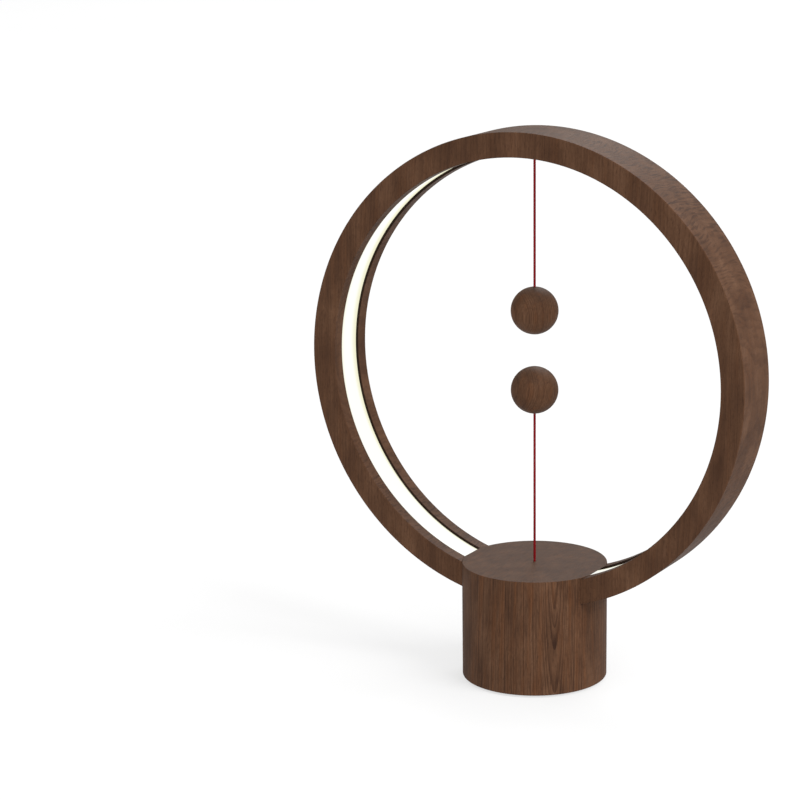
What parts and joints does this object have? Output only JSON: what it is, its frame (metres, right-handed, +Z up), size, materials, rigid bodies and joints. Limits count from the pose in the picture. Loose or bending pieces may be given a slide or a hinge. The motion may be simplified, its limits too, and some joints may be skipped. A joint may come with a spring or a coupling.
{
  "type": "magnetic balance lamp",
  "caption": "Desk lamp: a wooden light ring stands in a round base, and wooden balls on cords hang in its middle and work the pull switch inside the base.",
  "frame": {"origin": "middle of the foot pad's underside, on the table", "axes": "+Z up, the ring in the XZ plane, -Y to the front and +Y to the power inlet at the back"},
  "size_m": [0.23, 0.071, 0.27],
  "materials": {
    "walnut": "satin, fine vertical grain",
    "milky_acrylic": "milky, lit from behind",
    "led_board": "white solder mask",
    "led_phosphor": "yellow phosphor under clear resin",
    "red_cord": "fine braid",
    "nickel": "nickel plated",
    "brass": "turned",
    "spring_steel": "drawn",
    "zinc_steel": "zinc plated",
    "ballast_steel": "turned, oiled",
    "white_acetal": "moulded",
    "red_acetal": "moulded",
    "grey_abs": "moulded",
    "black_abs": "moulded",
    "white_nylon": "moulded",
    "green_laminate": "solder mask over laminate",
    "lead_pvc": "extruded",
    "grey_rubber": "closed-cell foam"
  },
  "bodies": {
    "base": {"ring_frame": "walnut", "led_strip": "led_board", "led_chips": "led_phosphor", "light_diffuser": "milky_acrylic", "string_anchor": "brass", "upper_string_knot": "red_cord", "return_spring": "spring_steel", "switch_housing": "grey_abs", "housing_screws": "zinc_steel", "micro_switch": "black_abs", "switch_terminals": "brass", "switch_screws": "zinc_steel", "base_shell": "walnut", "ring_brackets": "zinc_steel", "bracket_screws": "zinc_steel", "circuit_board": "green_laminate", "board_components": "black_abs", "wire_headers": "white_nylon", "board_standoffs": "brass", "board_screws": "zinc_steel", "inlet_socket": "nickel", "inlet_tongue": "black_abs", "inlet_bezel": "black_abs", "led_leads": "lead_pvc", "switch_leads": "lead_pvc", "ballast_disc": "ballast_steel", "ballast_screws": "zinc_steel", "bottom_cover": "black_abs", "cover_screws": "zinc_steel", "foot_pad": "grey_rubber"},
    "upper_cord_bend": {"upper_string_bend": "red_cord"},
    "upper_cord": {"upper_string": "red_cord", "upper_ball_knot": "red_cord"},
    "upper_weight": {"upper_ball": "walnut", "upper_magnet": "nickel", "upper_ball_plug": "walnut"},
    "lower_cord_bend": {"lower_string_bend": "red_cord"},
    "lower_cord": {"lower_string": "red_cord"},
    "lower_cord_end": {"lower_ball_knot": "red_cord"},
    "lower_weight": {"lower_ball": "walnut", "lower_magnet": "nickel", "lower_ball_plug": "walnut"},
    "plunger": {"pull_plunger": "white_acetal", "pull_string": "red_cord"},
    "lever": {"switch_lever": "spring_steel"},
    "button": {"switch_button": "red_acetal"}
  },
  "joints": [
    {"name": "upper_swing_fore_aft", "type": "hinge", "parent": "base", "child": "upper_cord_bend", "pos_m": [0, 0, 0.25895], "axis": [1, 0, 0], "range_deg": [-60, 60]},
    {"name": "upper_swing_sideways", "type": "hinge", "parent": "upper_cord_bend", "child": "upper_cord", "pos_m": [0, 0, 0.25895], "axis": [0, 1, 0], "range_deg": [-50, 50]},
    {"name": "upper_ball_spin", "type": "hinge", "parent": "upper_cord", "child": "upper_weight", "pos_m": [0, 0, 0.18295], "axis": [0, 0, 1], "continuous": true},
    {"name": "lower_swing_fore_aft", "type": "hinge", "parent": "base", "child": "lower_cord_bend", "pos_m": [0, 0, 0.05855], "axis": [1, 0, 0], "range_deg": [-20, 20], "stiffness_Nm_per_rad": 0.02},
    {"name": "lower_swing_sideways", "type": "hinge", "parent": "lower_cord_bend", "child": "lower_cord", "pos_m": [0, 0, 0.05855], "axis": [0, 1, 0], "range_deg": [-20, 20], "stiffness_Nm_per_rad": 0.02},
    {"name": "lower_ball_drop", "type": "slide", "parent": "lower_cord", "child": "lower_cord_end", "axis": [0, 0, 1], "range_m": [-0.0725, 0], "deforming": ["lower_string"]},
    {"name": "lower_ball_spin", "type": "hinge", "parent": "lower_cord_end", "child": "lower_weight", "pos_m": [0, 0, 0.14395], "axis": [0, 0, 1], "continuous": true},
    {"name": "plunger_slide", "type": "slide", "parent": "base", "child": "plunger", "axis": [0, 0, 1], "range_m": [-0.003, 0], "deforming": ["return_spring"]},
    {"name": "switch_lever_pivot", "type": "hinge", "parent": "base", "child": "lever", "pos_m": [0.0175, 0, 0.02725], "axis": [0, 1, 0], "range_deg": [-12.84, 0]},
    {"name": "switch_button_slide", "type": "slide", "parent": "base", "child": "button", "axis": [0, 0, 1], "range_m": [-0.0007, 0]}
  ],
  "couplings": [
    {"joint": "plunger_slide", "follows": "lower_ball_drop", "ratio": 0.04137},
    {"joint": "switch_lever_pivot", "follows": "lower_ball_drop", "rad_per_m": 3.09},
    {"joint": "switch_button_slide", "follows": "lower_ball_drop", "ratio": 0.0096}
  ]
}
